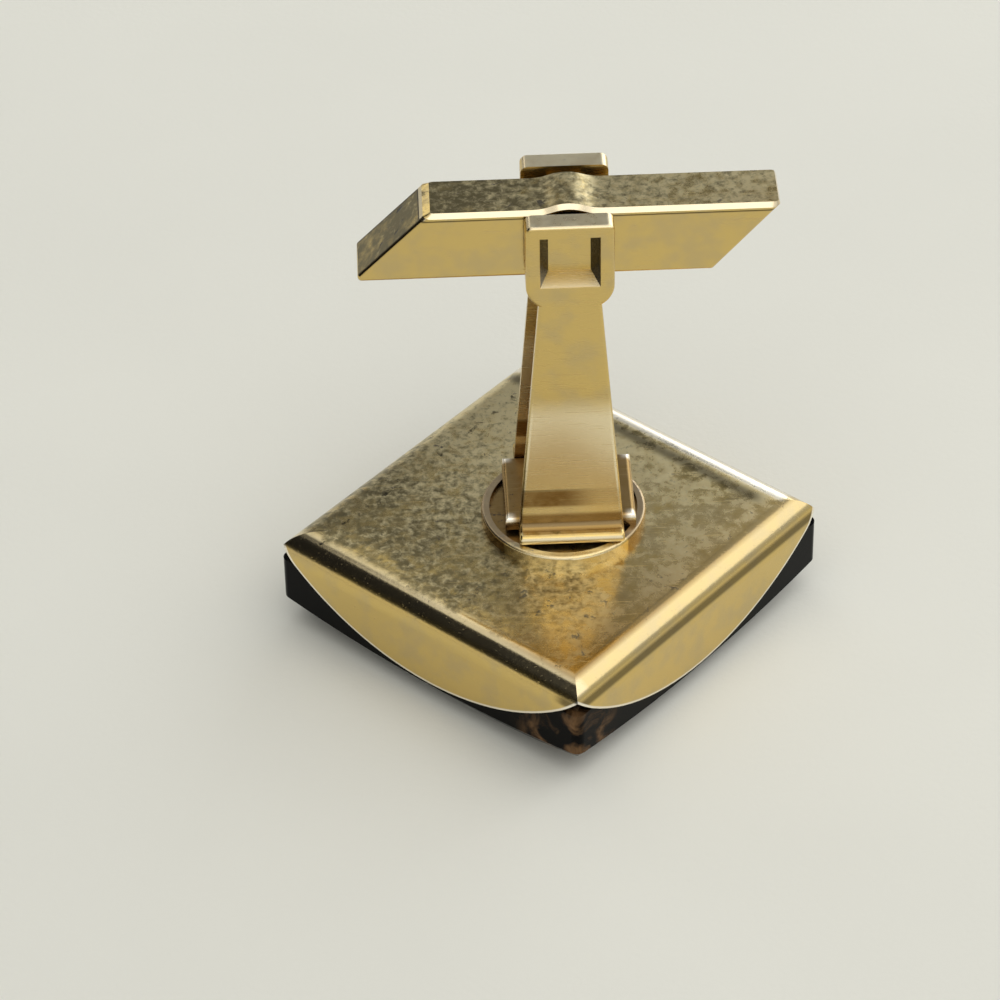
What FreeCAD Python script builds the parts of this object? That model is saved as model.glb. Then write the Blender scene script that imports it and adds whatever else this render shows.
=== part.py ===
"""Swivel-bar cufflink: a stone in a folded setting, a two-legged post and a sprung bar that swivels.

The frame: +Z up, the stone's face down on z = 0, the middle of the setting on the Z axis, X along the bar.
Millimetres and degrees.
"""
import FreeCAD, Part
import math
import os
import re
import Sketcher

# Driving dimensions: name, value, meaning.
SIZES = [
    ("setting_side", 18.8, "square back, across the outer faces of the flaps"),
    ("setting_height", 5.4, "flat of the back above the surface"),
    ("setting_angle", 47.8, "turn of the setting's sides from the bar"),
    ("sheet_thickness", 0.4, "sheet of the back and its flaps"),
    ("fold_radius", 1.4, "outside of the fold round the back"),
    ("flap_drop", 4.3, "lowest point of a flap below the back"),
    ("corner_drop", 0.48, "flaps meet at the corners this far below the back"),
    ("flap_proud", 0.05, "flaps stand out this far from the stone's sides"),
    ("seat_clearance", 0.05, "gap round pieces that seat in each other"),
    ("cement_thickness", 0.15, "bed of cement over the stone"),
    ("stone_edge_bevel", 0.35, "bevel between the stone's sides and its dome"),
    ("stone_corner_extra", 0.1, "corners of the stone, seen from above, are rounder than its bevel by this"),
    ("dome_radius", 65, "radius of the stone's domed face"),
    ("table_radius", 3, "flat in the middle of the dome, on which the part rests"),
    ("post_offset_x", 0.94, "post from the middle of the back, along the bar"),
    ("post_offset_y", 0.67, "post from the middle of the back, across the bar"),
    ("cup_radius", 4, "dished base, outside"),
    ("cup_shift_x", -0.28, "dished base from the post, along the bar"),
    ("cup_shift_y", -0.7, "dished base from the post, across the bar"),
    ("cup_floor", 0.4, "dished base, floor thickness"),
    ("cup_rim_height", 0.65, "dished base, rim above the back"),
    ("cup_rim_thickness", 0.4, "dished base, rim thickness"),
    ("cup_rim_round", 0.15, "rounding of the rim's outer edge"),
    ("spacer_width", 6.3, "block between the legs, along the bar"),
    ("spacer_top", 1.3, "top of the block above the back"),
    ("spacer_round", 0.25, "rounding of the block's upper edges"),
    ("pivot_height", 16.83, "swivel axis above the back"),
    ("head_width", 4.1, "head of a leg, along the bar"),
    ("head_above", 1.99, "top of the head above the swivel axis"),
    ("head_below", 2.47, "neck under the head, below the swivel axis"),
    ("head_thickness", 1.09, "head of a leg, across the bar"),
    ("head_shoulder", 1.3, "radius of the shoulders between neck and head"),
    ("head_upper_corner", 0.35, "upper corners of the head"),
    ("leg_thickness", 0.55, "leg, across the bar"),
    ("leg_neck_width", 2.93, "leg where it meets its head"),
    ("leg_base_width", 5.11, "leg and foot at the bottom"),
    ("leg_round", 0.18, "rounding of the outer edges of the leg and its head"),
    ("foot_bend", 0.35, "hollow of the bend between leg and foot"),
    ("foot_land", 0.15, "flat of the foot between its bend and its rounded lip"),
    ("pocket_mouth", 2.8, "square pressed pocket, at the head's outer face"),
    ("pocket_bottom", 1.95, "square pressed pocket, at its bottom"),
    ("pocket_depth", 0.85, "square pressed pocket, depth"),
    ("boss_flat_depth", 0.27, "flats of the pivot boss, in from its round"),
    ("boss_reach", 0.5, "boss beyond the inner face of the bar's cheek"),
    ("running_clearance", 0.03, "boss in the bar's hole, on the radius"),
    ("cheek_clearance", 0.5, "gap between the bar's cheek and the head"),
    ("bar_length", 16.52, "bar, length half-way up"),
    ("bar_height", 3.63, "bar with its lid"),
    ("bar_depth", 2.86, "bar, across"),
    ("left_slant", 3.56, "top of the bar's left end is shifted along by this against its bottom"),
    ("right_slant", 3.15, "top of the bar's right end is shifted along by this against its bottom"),
    ("bar_wall", 0.35, "wall of the hollow bar"),
    ("bar_round", 0.2, "rounding of the bar's edges"),
    ("lid_thickness", 0.3, "lid of the bar"),
    ("lid_overhang", 0.04, "lid beyond the bar's faces"),
    ("lid_corner", 0.3, "corners of the lid, seen from above"),
    ("lid_bevel", 0.2, "bevel round the top of the lid"),
    ("arch_half_width", 1.6, "half the width of the lid's arch"),
    ("arch_height", 0.3, "rise of the lid's arch"),
    ("spring_thickness", 0.15, "leaf spring"),
    ("spring_bow", 0.27, "middle of the leaf spring below its ends"),
    ("spring_gap", 0.03, "leaf spring from the boss's flat, and from the lid"),
    ("spring_side_gap", 0.15, "leaf spring from the inside of the bar"),
]

# Sizes that follow from the driving dimensions.
FORMULAS = {
    "setting_half": "setting_side / 2",
    "setting_inside": "setting_half - sheet_thickness",
    "back_underside": "setting_height - sheet_thickness",
    "corner_edge": "setting_height - corner_drop",
    "flap_rise": "flap_drop - corner_drop",
    "stone_half": "setting_half - flap_proud",
    "stone_corner": "stone_edge_bevel + stone_corner_extra",
    "stone_inside": "setting_inside - seat_clearance",
    "stone_top": "back_underside - cement_thickness",
    "stone_ledge": "setting_height - fold_radius - seat_clearance",
    "inner_fold": "fold_radius - sheet_thickness",
    "stone_back_bevel": "inner_fold - cement_thickness",
    "dome_centre": "sqrt(dome_radius ^ 2 - table_radius ^ 2)",
    "head_inner": "bar_depth / 2 + cheek_clearance",
    "leg_outer": "head_inner + head_thickness",
    "leg_inner": "leg_outer - leg_thickness",
    "head_bottom": "pivot_height - head_below",
    "head_top": "pivot_height + head_above",
    "shoulder_step": "(head_width - leg_neck_width) / 2",
    "shoulder_rise": "sqrt(shoulder_step * (2 * head_shoulder - shoulder_step))",
    "shoulder_top": "head_bottom + shoulder_rise",
    "foot_top": "cup_rim_height + leg_thickness",
    "lip_round": "leg_thickness / 2",
    "foot_reach": "foot_bend + foot_land + lip_round",
    "cup_inside": "cup_radius - cup_rim_thickness",
    "box_top": "bar_height / 2 - lid_thickness",
    "boss_flat": "box_top - 2 * spring_gap - spring_thickness - spring_bow",
    "boss_radius": "boss_flat + boss_flat_depth",
    "boss_corner": "sqrt(boss_radius ^ 2 - boss_flat ^ 2)",
    "end_wall": "bar_wall * sqrt(1 + (left_slant / bar_height) ^ 2)",
    "spring_end": "box_top - spring_gap - spring_thickness",
    "spring_half": "bar_length / 2 - left_slant * box_top / bar_height - end_wall - spring_side_gap",
}

DRIVING = {name for name, value, meaning in SIZES}
TINY = 0.01
STEEP = 0.5

doc = FreeCAD.newDocument("Cufflink")


def make_sheet():
    """Put the driving dimensions into a spreadsheet, one row each."""
    sheet = doc.addObject("Spreadsheet::Sheet", "Sizes")
    for row, (name, value, meaning) in enumerate(SIZES, 1):
        sheet.set("A%d" % row, name)
        sheet.set("B%d" % row, str(value))
        sheet.set("C%d" % row, meaning)
        sheet.setAlias("B%d" % row, name)
    doc.recompute()
    return sheet


make_sheet()


def bound(formula):
    """Write a formula out in terms of the spreadsheet's cells."""
    def expand(match):
        name = match.group()
        if name in FORMULAS:
            return "(" + bound(FORMULAS[name]) + ")"
        if name in DRIVING:
            return "Sizes." + name
        return name
    return re.sub(r"[a-z_]+", expand, formula)


def number(formula):
    """Value of a formula with the spreadsheet's present numbers."""
    return float(doc.getObject("Sizes").evalExpression(bound(formula).replace("Sizes.", "")))


def origin_part(body, role):
    """Plane or axis of a body's own origin."""
    for feature in body.Origin.OriginFeatures:
        if feature.Role == role:
            return feature
    raise ValueError("no origin feature " + role)


def make_body(label):
    """An empty body whose label names its file."""
    body = doc.addObject("PartDesign::Body", label)
    body.Label = label
    return body


def make_sketch(body, name, plane, offset="0"):
    """A sketch on one of the body's origin planes, moved along the plane's normal.

    The normal of XZ_Plane points to -Y, so a positive offset there lies in front.
    """
    sketch = body.newObject("Sketcher::SketchObject", name)
    sketch.AttachmentSupport = (origin_part(body, plane), [""])
    sketch.MapMode = "FlatFace"
    sketch.setExpression("AttachmentOffset.Base.z", bound(offset))
    return sketch


def fix(sketch, kind, geometry, position, formula):
    """Hold one coordinate of a point at a formula's value, measured from the sketch's origin."""
    constraint = Sketcher.Constraint(kind, -1, 1, geometry, position, number(formula))
    index = sketch.addConstraint(constraint)
    sketch.setExpression("Constraints[%d]" % index, bound(formula))


def add_edge(sketch, start, end, centre):
    """Add a line, or an arc of under a half circle about centre, and tell which of its ends is the start."""
    if centre is None:
        return sketch.addGeometry(Part.LineSegment(start, end)), 1, 2
    towards_middle = (start - centre) + (end - centre)
    middle = centre + towards_middle.normalize() * (start - centre).Length
    geometry = sketch.addGeometry(Part.Arc(start, middle, end))
    if sketch.getPoint(geometry, 1).distanceToPoint(start) < TINY:
        return geometry, 1, 2
    return geometry, 2, 1


def draw(sketch, corners):
    """Draw a closed outline through corners, each an (x, y) pair of formulas.

    A corner with a third item starts an arc, and that item is the (x, y) of the arc's centre.
    """
    spots = [FreeCAD.Vector(number(corner[0]), number(corner[1]), 0) for corner in corners]
    centres = []
    for corner in corners:
        has_arc = len(corner) == 3
        centres.append(FreeCAD.Vector(number(corner[2][0]), number(corner[2][1]), 0) if has_arc else None)
    following = spots[1:] + spots[:1]
    edges = [add_edge(sketch, *ends) for ends in zip(spots, following, centres)]
    for (edge, first, last), (after, after_first, after_last) in zip(edges, edges[1:] + edges[:1]):
        sketch.addConstraint(Sketcher.Constraint("Coincident", edge, last, after, after_first))
    for corner, (edge, first, last), start, end in zip(corners, edges, spots, following):
        fix(sketch, "DistanceX", edge, first, corner[0])
        fix(sketch, "DistanceY", edge, first, corner[1])
        if len(corner) == 3:
            chord = end - start
            if abs(chord.x) > abs(chord.y):
                fix(sketch, "DistanceY", edge, 3, corner[2][1])
            else:
                fix(sketch, "DistanceX", edge, 3, corner[2][0])


def draw_circle(sketch, radius):
    """Draw a circle about the sketch's origin."""
    up = FreeCAD.Vector(0, 0, 1)
    circle = sketch.addGeometry(Part.Circle(FreeCAD.Vector(), up, number(radius)))
    sketch.addConstraint(Sketcher.Constraint("Coincident", circle, 3, -1, 1))
    index = sketch.addConstraint(Sketcher.Constraint("Radius", circle, number(radius)))
    sketch.setExpression("Constraints[%d]" % index, bound(radius))


def draw_square(sketch, half, height="0"):
    """Draw a square about the sketch's upright axis, its middle at a height."""
    low, high = "%s - (%s)" % (height, half), "%s + (%s)" % (height, half)
    left, right = "-(%s)" % half, half
    draw(sketch, [(left, low), (right, low), (right, high), (left, high)])


def draw_rounded_square(sketch, half, radius):
    """Draw a square about the sketch's origin, with rounded corners."""
    flat = "((%s) - (%s))" % (half, radius)
    outline = []
    for across, up in (("", "-"), ("", ""), ("-", ""), ("-", "-")):
        centre = (across + flat, up + flat)
        on_side = (across + "(%s)" % half, up + flat, centre)
        on_end = (across + flat, up + "(%s)" % half, centre)
        if across == up:
            outline += [on_side, on_end[:2]]
        else:
            outline += [on_end, on_side[:2]]
    draw(sketch, outline)


def settle(feature):
    """Recompute the document and stop at a feature that fails."""
    doc.recompute()
    if feature.Shape.isNull() or "Invalid" in feature.State:
        raise ValueError("%s fails: %s" % (feature.Name, feature.getStatusString()))


def pad(body, sketch, name, length, backwards=False, both_ways=False):
    """Extrude a sketch along its normal, against it, or half each way."""
    feature = body.newObject("PartDesign::Pad", name)
    feature.Profile = sketch
    feature.setExpression("Length", bound(length))
    feature.Reversed = backwards
    feature.SideType = "Symmetric" if both_ways else "One side"
    settle(feature)


def settle_cut(feature, before):
    """Recompute a cut: one that takes nothing away is an error."""
    settle(feature)
    if not feature.Shape.Volume < before - TINY * TINY:
        raise ValueError(feature.Name + " cuts nothing")


def pocket(body, sketch, name, length, backwards=False, both_ways=False, taper=None):
    """Cut a sketch's outline into the body, against the sketch's normal unless backwards."""
    before = body.Shape.Volume
    feature = body.newObject("PartDesign::Pocket", name)
    feature.Profile = sketch
    feature.setExpression("Length", bound(length))
    feature.Reversed = backwards
    feature.SideType = "Symmetric" if both_ways else "One side"
    if taper:
        feature.setExpression("TaperAngle", bound(taper))
    settle_cut(feature, before)
    return feature


def four_times(body, feature, name):
    """Repeat a feature on all four sides."""
    pattern = body.newObject("PartDesign::PolarPattern", name)
    pattern.Originals = [feature]
    pattern.Axis = (origin_part(body, "Z_Axis"), [""])
    pattern.Angle = 360
    pattern.Occurrences = 4
    body.Tip = pattern
    settle(pattern)


def middle_of(edge):
    """Point half-way along an edge."""
    return edge.valueAt((edge.FirstParameter + edge.LastParameter) / 2)


def along_of(edge):
    """Direction of an edge half-way along it."""
    return edge.tangentAt((edge.FirstParameter + edge.LastParameter) / 2)


def near(value, formula):
    """True where a coordinate equals a formula's value."""
    return abs(value - number(formula)) < TINY


def ease_edges(body, name, kind, size_property, size, chosen):
    """Ease the edges of the body that pass a test on their middle point and direction."""
    base = body.Tip
    names = []
    for index, edge in enumerate(base.Shape.Edges, 1):
        if chosen(middle_of(edge), along_of(edge)):
            names.append("Edge%d" % index)
    if not names:
        raise ValueError(name + " finds no edge")
    feature = body.newObject(kind, name)
    feature.Base = (base, names)
    feature.setExpression(size_property, bound(size))
    settle(feature)


def round_edges(body, name, radius, chosen):
    """Fillet the chosen edges."""
    ease_edges(body, name, "PartDesign::Fillet", "Radius", radius, chosen)


def bevel_edges(body, name, size, chosen):
    """Chamfer the chosen edges."""
    ease_edges(body, name, "PartDesign::Chamfer", "Size", size, chosen)


def place(thing, height, at_post=False, turn=None, shift=("0", "0")):
    """Set a sub-part at its height, on the setting's middle or by the post, turned about Z."""
    thing.Placement = FreeCAD.Placement(FreeCAD.Vector(), FreeCAD.Rotation(FreeCAD.Vector(0, 0, 1), 1))
    thing.setExpression("Placement.Rotation.Angle", bound(turn) if turn else "0")
    thing.setExpression("Placement.Base.z", bound(height))
    if at_post:
        thing.setExpression("Placement.Base.x", bound("post_offset_x + " + shift[0]))
        thing.setExpression("Placement.Base.y", bound("post_offset_y + " + shift[1]))


def flap_arc(drop, half_width, rise):
    """Lower edge of a flap: an arc from its left end to its right end, with the arc's centre."""
    radius = "((%s) ^ 2 + (%s) ^ 2) / (2 * (%s))" % (half_width, rise, rise)
    bottom = "setting_height - (%s)" % drop
    end = "%s + (%s)" % (bottom, rise)
    centre = ("0", "%s + %s" % (bottom, radius))
    return [("-(%s)" % half_width, end, centre), (half_width, end)]


def make_fold():
    """Square block with a rounded upper edge."""
    body = make_body("tray_block")
    outline = make_sketch(body, "tray_outline", "XY_Plane", "setting_height")
    draw_square(outline, "setting_half")
    pad(body, outline, "tray_pad", "flap_drop", backwards=True)
    round_edges(body, "tray_fold", "fold_radius", lambda at, along: near(at.z, "setting_height"))
    return body


def make_flap_trim(turn):
    """What is cut away below one flap: a lens-edged slab with mitred ends."""
    body = make_body("flap_trim_" + turn)
    lens = make_sketch(body, "lens_" + turn, "XZ_Plane", "setting_half + sheet_thickness")
    left_end, right_end = flap_arc("flap_drop", "setting_half", "flap_rise")
    draw(lens, [
        left_end,
        right_end,
        ("setting_side", "corner_edge"),
        ("setting_side", "-flap_drop"),
        ("-setting_side", "-flap_drop"),
        ("-setting_side", "corner_edge"),
    ])
    pad(body, lens, "slab_" + turn, "sheet_thickness + fold_radius", backwards=True)
    ends = make_sketch(body, "mitre_" + turn, "XY_Plane", "setting_height")
    for side in ("-", ""):
        draw(ends, [
            ("0", "0"),
            (side + "setting_side", "-setting_side"),
            (side + "setting_side", "setting_side"),
        ])
    pocket(body, ends, "mitres_" + turn, "4 * setting_height", both_ways=True)
    place(body, "0", turn=turn)
    return body


def make_setting_tray():
    """Square back with a rounded fold, hollowed and cut away below four lens-shaped flaps."""
    core = make_body("tray_core")
    inside = make_sketch(core, "tray_inside", "XY_Plane", "back_underside")
    draw_square(inside, "setting_inside")
    pad(core, inside, "tray_hollow", "flap_drop", backwards=True)
    round_edges(core, "tray_inner_fold", "inner_fold", lambda at, along: near(at.z, "back_underside"))
    cutter = doc.addObject("Part::MultiFuse", "tray_cutter")
    cutter.Shapes = [core] + [make_flap_trim(turn) for turn in ("0", "90", "180", "270")]
    tray = doc.addObject("Part::Cut", "setting_tray")
    tray.Base = make_fold()
    tray.Tool = cutter
    tray.Label = "setting_tray"
    place(tray, "0", turn="setting_angle")
    return tray


def make_stone():
    """Square stone: domed face with a small flat, rounded edge, and rebates in which the flaps lie."""
    body = make_body("stone")
    girth = make_sketch(body, "stone_girth", "XY_Plane")
    draw_rounded_square(girth, "stone_half", "stone_corner")
    pad(body, girth, "stone_block", "stone_ledge")

    before = body.Shape.Volume
    dome = make_sketch(body, "dome_profile", "XZ_Plane")
    dome_end = "dome_centre - sqrt(dome_radius ^ 2 - setting_side ^ 2)"
    draw(dome, [
        ("table_radius", "0", ("0", "dome_centre")),
        ("setting_side", dome_end),
        ("setting_side", "-table_radius"),
        ("table_radius", "-table_radius"),
    ])
    groove = body.newObject("PartDesign::Groove", "dome")
    groove.Profile = dome
    groove.ReferenceAxis = (dome, ["V_Axis"])
    groove.Angle = 360
    settle_cut(groove, before)

    def on_dome_edge(at, along):
        outside_table = at.x ** 2 + at.y ** 2 > number("table_radius ^ 2") + TINY
        return outside_table and at.z < number("stone_ledge") - TINY and abs(along.z) < 1 - TINY

    bevel_edges(body, "dome_edge", "stone_edge_bevel", on_dome_edge)

    rebate = make_sketch(body, "rebate_outline", "XZ_Plane", "stone_half")
    drop = "flap_drop + seat_clearance"
    left_end, right_end = flap_arc(drop, "setting_half + seat_clearance", "flap_rise + seat_clearance")
    draw(rebate, [
        left_end,
        right_end,
        ("setting_half + seat_clearance", "setting_height"),
        ("-(setting_half + seat_clearance)", "setting_height"),
    ])
    cut = pocket(body, rebate, "flap_rebate", "stone_half - stone_inside")
    four_times(body, cut, "flap_rebates")

    seat = make_sketch(body, "stone_seat", "XY_Plane", "stone_ledge")
    draw_square(seat, "stone_inside")
    pad(body, seat, "stone_back", "stone_top - stone_ledge")
    bevel_edges(body, "stone_back_edge", "stone_back_bevel", lambda at, along: near(at.z, "stone_top"))
    place(body, "0", turn="setting_angle")
    return body


def make_stone_cement():
    """Thin bed of cement between the stone and the back."""
    body = make_body("stone_cement")
    bed = make_sketch(body, "cement_outline", "XY_Plane", "stone_top")
    draw_square(bed, "setting_inside - inner_fold - seat_clearance")
    pad(body, bed, "cement_bed", "cement_thickness")
    place(body, "0", turn="setting_angle")
    return body


def make_base_cup():
    """Dished round base with a rounded rim."""
    body = make_body("base_cup")
    profile = make_sketch(body, "cup_profile", "XZ_Plane")
    draw(profile, [
        ("0", "0"),
        ("cup_radius", "0"),
        ("cup_radius", "cup_rim_height"),
        ("cup_inside", "cup_rim_height"),
        ("cup_inside", "cup_floor"),
        ("0", "cup_floor"),
    ])
    turned = body.newObject("PartDesign::Revolution", "cup")
    turned.Profile = profile
    turned.ReferenceAxis = (profile, ["V_Axis"])
    turned.Angle = 360
    settle(turned)

    def on_outer_rim(at, along):
        return near(at.z, "cup_rim_height") and near(at.x ** 2 + at.y ** 2, "cup_radius ^ 2")

    round_edges(body, "cup_rim", "cup_rim_round", on_outer_rim)
    place(body, "setting_height", at_post=True, shift=("cup_shift_x", "cup_shift_y"))
    return body


def make_leg_spacer():
    """Block between the legs, which lies on the rim of the base."""
    body = make_body("leg_spacer")
    outline = make_sketch(body, "spacer_outline", "XY_Plane")
    half_width, half_depth = "spacer_width / 2", "leg_inner - seat_clearance"
    draw(outline, [
        ("-" + half_width, "-(%s)" % half_depth),
        (half_width, "-(%s)" % half_depth),
        (half_width, half_depth),
        ("-" + half_width, half_depth),
    ])
    height = "spacer_top - cup_rim_height"
    pad(body, outline, "spacer_block", height)
    round_edges(body, "spacer_edges", "spacer_round", lambda at, along: near(at.z, height))
    place(body, "setting_height + cup_rim_height", at_post=True)
    return body


def make_leg_plate(body):
    """Leg and foot: a bent strip with a half-round lip, tapered from the foot up to the head."""
    profile = make_sketch(body, "leg_profile", "YZ_Plane")
    lip_start = "-(leg_outer + foot_bend + foot_land)"
    lip_middle = "cup_rim_height + lip_round"
    draw(profile, [
        ("-leg_inner", "cup_rim_height"),
        ("-leg_inner", "pivot_height"),
        ("-leg_outer", "pivot_height"),
        ("-leg_outer", "foot_top + foot_bend", ("-(leg_outer + foot_bend)", "foot_top + foot_bend")),
        ("-(leg_outer + foot_bend)", "foot_top"),
        (lip_start, "foot_top", (lip_start, lip_middle)),
        ("-(leg_outer + foot_reach)", lip_middle, (lip_start, lip_middle)),
        (lip_start, "cup_rim_height"),
    ])
    pad(body, profile, "leg_strip", "leg_base_width", both_ways=True)

    taper = make_sketch(body, "leg_taper", "XZ_Plane")
    for side in ("-", ""):
        draw(taper, [
            (side + "leg_base_width / 2", "cup_rim_height"),
            (side + "leg_base_width", "cup_rim_height"),
            (side + "leg_base_width", "pivot_height"),
            (side + "leg_neck_width / 2", "pivot_height"),
            (side + "leg_neck_width / 2", "head_bottom"),
        ])
    pocket(body, taper, "leg_sides", "4 * (leg_outer + foot_reach)", both_ways=True)


def round_leg(body):
    """Round the outer edges of the leg, its foot and its head."""
    def on_outer_edge(at, along):
        if near(at.z, "head_top"):
            return near(at.y, "-leg_outer")
        on_side = abs(at.x) > number("leg_neck_width / 2") + TINY
        outside = at.y < number("-leg_inner") - TINY
        through_head = at.z > number("head_bottom") and abs(along.y) > 1 - TINY
        above_lip = at.z > number("cup_rim_height + lip_round")
        return on_side and outside and above_lip and not through_head and abs(along.x) < 1 - TINY

    round_edges(body, "leg_edges", "leg_round", on_outer_edge)


def make_leg_head(body):
    """Square head over the neck, with a pressed pocket outside and the pivot boss inside."""
    outline = make_sketch(body, "head_outline", "XZ_Plane", "leg_outer")
    half, neck = "head_width / 2", "leg_neck_width / 2"
    shoulder = "(%s - head_shoulder)" % half
    corner = "(%s - head_upper_corner)" % half
    corner_foot = "head_top - head_upper_corner"
    draw(outline, [
        ("-" + neck, "head_bottom"),
        (neck, "head_bottom", (shoulder, "shoulder_top")),
        (half, "shoulder_top"),
        (half, corner_foot, (corner, corner_foot)),
        (corner, "head_top"),
        ("-" + corner, "head_top", ("-" + corner, corner_foot)),
        ("-" + half, corner_foot),
        ("-" + half, "shoulder_top", ("-" + shoulder, "shoulder_top")),
    ])
    pad(body, outline, "head", "head_thickness", backwards=True)
    round_leg(body)

    mouth = make_sketch(body, "pocket_outline", "XZ_Plane", "leg_outer")
    draw_square(mouth, "pocket_mouth / 2", "pivot_height")
    slope = "-atan((pocket_mouth - pocket_bottom) / 2 / pocket_depth)"
    pocket(body, mouth, "pressed_pocket", "pocket_depth", taper=slope)

    boss = make_sketch(body, "boss_outline", "XZ_Plane", "head_inner")
    pivot = ("0", "pivot_height")
    draw(boss, [
        ("boss_flat", "pivot_height - boss_corner"),
        ("boss_flat", "pivot_height + boss_corner", pivot),
        ("boss_corner", "pivot_height + boss_flat"),
        ("-boss_corner", "pivot_height + boss_flat", pivot),
        ("-boss_flat", "pivot_height + boss_corner"),
        ("-boss_flat", "pivot_height - boss_corner", pivot),
        ("-boss_corner", "pivot_height - boss_flat"),
        ("boss_corner", "pivot_height - boss_flat", pivot),
    ])
    pad(body, boss, "pivot_boss", "cheek_clearance + bar_wall + boss_reach", backwards=True)


def make_leg(label, turn):
    """One leg of the post, made in front of the bar and turned to its side."""
    body = make_body(label)
    make_leg_plate(body)
    make_leg_head(body)
    place(body, "setting_height", at_post=True, turn=turn)
    return body


def bar_end(side, height, inset="0"):
    """Where the bar's slanted end stands at a height above the swivel axis."""
    slant = "left_slant" if side == "-" else "right_slant"
    return "%s(bar_length / 2 - (%s)) + %s * (%s) / bar_height" % (side, inset, slant, height)


def make_toggle_box():
    """Hollow bar, open at the top, with slanted ends and a round pivot hole through both cheeks."""
    body = make_body("toggle_box")
    bottom = "-bar_height / 2"
    outline = make_sketch(body, "bar_outline", "XZ_Plane")
    draw(outline, [
        (bar_end("-", bottom), bottom),
        (bar_end("", bottom), bottom),
        (bar_end("", "box_top"), "box_top"),
        (bar_end("-", "box_top"), "box_top"),
    ])
    pad(body, outline, "bar_block", "bar_depth", both_ways=True)
    round_edges(body, "bar_edges", "bar_round", lambda at, along: at.z < number("box_top") - TINY)

    inside = make_sketch(body, "bar_inside", "XZ_Plane")
    inner_bottom, above = bottom + " + bar_wall", "box_top + bar_wall"
    draw(inside, [
        (bar_end("-", inner_bottom, "end_wall"), inner_bottom),
        (bar_end("", inner_bottom, "end_wall"), inner_bottom),
        (bar_end("", above, "end_wall"), above),
        (bar_end("-", above, "end_wall"), above),
    ])
    pocket(body, inside, "bar_hollow", "bar_depth - 2 * bar_wall", both_ways=True)

    hole = make_sketch(body, "pivot_hole", "XZ_Plane")
    draw_circle(hole, "boss_radius + running_clearance")
    pocket(body, hole, "pivot_holes", "2 * bar_depth", both_ways=True)
    place(body, "setting_height + pivot_height", at_post=True)
    return body


def make_toggle_lid():
    """Bevelled lid of the bar, arched over the pivot to leave the spring room to rise."""
    body = make_body("toggle_lid")
    top = "bar_height / 2"
    arch_radius = "(arch_half_width ^ 2 + arch_height ^ 2) / (4 * arch_height)"
    halfway = "arch_half_width / 2"

    def arch(side, level, rising):
        """One half of the arch at a level: two arcs that meet half-way up."""
        foot = (side + "arch_half_width", level)
        middle = (side + halfway, level + " + arch_height / 2")
        top = ("0", level + " + arch_height")
        low_centre = (side + "arch_half_width", "%s + %s" % (level, arch_radius))
        high_centre = ("0", "%s + arch_height - %s" % (level, arch_radius))
        if rising:
            return [foot + (low_centre,), middle + (high_centre,)]
        return [top + (high_centre,), middle + (low_centre,), foot]

    profile = make_sketch(body, "lid_profile", "XZ_Plane")
    draw(profile, [
        (bar_end("-", "box_top", "-lid_overhang"), "box_top"),
        *arch("-", "box_top", rising=True),
        *arch("", "box_top", rising=False),
        (bar_end("", "box_top", "-lid_overhang"), "box_top"),
        (bar_end("", top, "-lid_overhang"), top),
        *arch("", top, rising=True),
        *arch("-", top, rising=False),
        (bar_end("-", top, "-lid_overhang"), top),
    ])
    pad(body, profile, "lid_plate", "bar_depth + 2 * lid_overhang", both_ways=True)
    round_edges(body, "lid_corners", "lid_corner", lambda at, along: abs(along.z) > STEEP)

    def rise_at(across):
        """Height of the arch over the flat lid."""
        radius, half_width = number(arch_radius), number("arch_half_width")
        if across > half_width:
            return 0
        if across > half_width / 2:
            return radius - math.sqrt(radius ** 2 - (half_width - across) ** 2)
        return number("arch_height") - radius + math.sqrt(radius ** 2 - across ** 2)

    def on_top_edge(at, along):
        on_top = at.z - rise_at(abs(at.x)) > number(top) - TINY
        across_arch = abs(along.y) > 1 - TINY and abs(at.x) < number("arch_half_width") + TINY
        return on_top and not across_arch

    bevel_edges(body, "lid_edge", "lid_bevel", on_top_edge)
    place(body, "setting_height + pivot_height", at_post=True)
    return body


def make_leaf_spring():
    """Bowed strip: its ends bear on the lid and its middle rides on the bosses' flats."""
    body = make_body("leaf_spring")
    bow_radius = "(spring_half ^ 2 + spring_bow ^ 2) / (2 * spring_bow)"
    centre = ("0", "spring_end - spring_bow + " + bow_radius)
    profile = make_sketch(body, "spring_profile", "XZ_Plane")
    draw(profile, [
        ("-spring_half", "spring_end", centre),
        ("spring_half", "spring_end"),
        ("spring_half", "spring_end + spring_thickness", centre),
        ("-spring_half", "spring_end + spring_thickness"),
    ])
    pad(body, profile, "spring_strip", "bar_depth - 2 * (bar_wall + spring_side_gap)", both_ways=True)
    place(body, "setting_height + pivot_height", at_post=True)
    return body


def export(pieces):
    """Check the whole document, then write one file for each piece."""
    doc.recompute()
    for thing in doc.Objects:
        if "Invalid" in thing.State or "Error" in thing.State:
            raise ValueError("%s: %s" % (thing.Name, thing.State))
    for piece in pieces:
        shape = piece.Shape
        if shape.isNull() or not shape.isValid() or len(shape.Solids) != 1:
            raise ValueError(piece.Label + " is not one sound solid")
    os.makedirs("parts", exist_ok=True)
    for piece in pieces:
        piece.Shape.exportStep("parts/%s.step" % piece.Label)
        box = piece.Shape.BoundBox
        print("%-14s %8.3f mm3  z %.2f to %.2f" % (piece.Label, piece.Shape.Volume, box.ZMin, box.ZMax))


export([
    make_setting_tray(),
    make_stone(),
    make_stone_cement(),
    make_base_cup(),
    make_leg_spacer(),
    make_leg("front_leg", "0"),
    make_leg("rear_leg", "180"),
    make_toggle_box(),
    make_toggle_lid(),
    make_leaf_spring(),
])
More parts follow.
